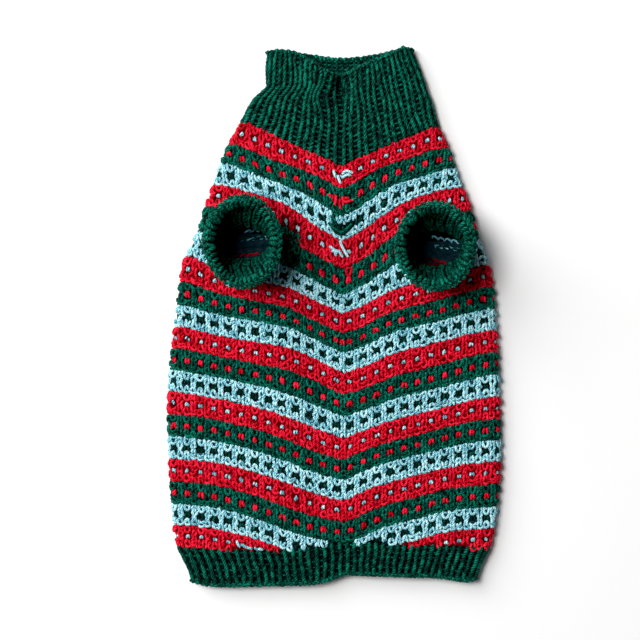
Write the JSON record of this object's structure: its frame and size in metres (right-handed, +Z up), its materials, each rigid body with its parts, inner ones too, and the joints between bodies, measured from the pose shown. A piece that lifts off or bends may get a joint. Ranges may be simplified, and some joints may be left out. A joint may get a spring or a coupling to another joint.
{
  "type": "dog sweater",
  "caption": "Hand-knitted dog sweater laid flat, belly side up, with a ribbed turtleneck, two ribbed leg cuffs and chevron rows of dotted stripes.",
  "frame": {"origin": "centre of the garment's box, on the surface that it lies on", "axes": "+Z up from the surface, +Y from the hem to the neck, +X across the garment to the right as seen from above"},
  "size_m": [0.2593, 0.4176, 0.0602],
  "materials": {
    "green_yarn": "soft plied yarn, matt",
    "red_yarn": "soft plied yarn, matt",
    "blue_yarn": "soft plied yarn, matt"
  },
  "bodies": {
    "root": {"back_panel": "blue_yarn", "belly_left": "red_yarn", "belly_right": "red_yarn", "collar": "green_yarn", "hem_rib": "green_yarn", "cuff_left": "green_yarn", "cuff_right": "green_yarn"}
  },
  "joints": []
}
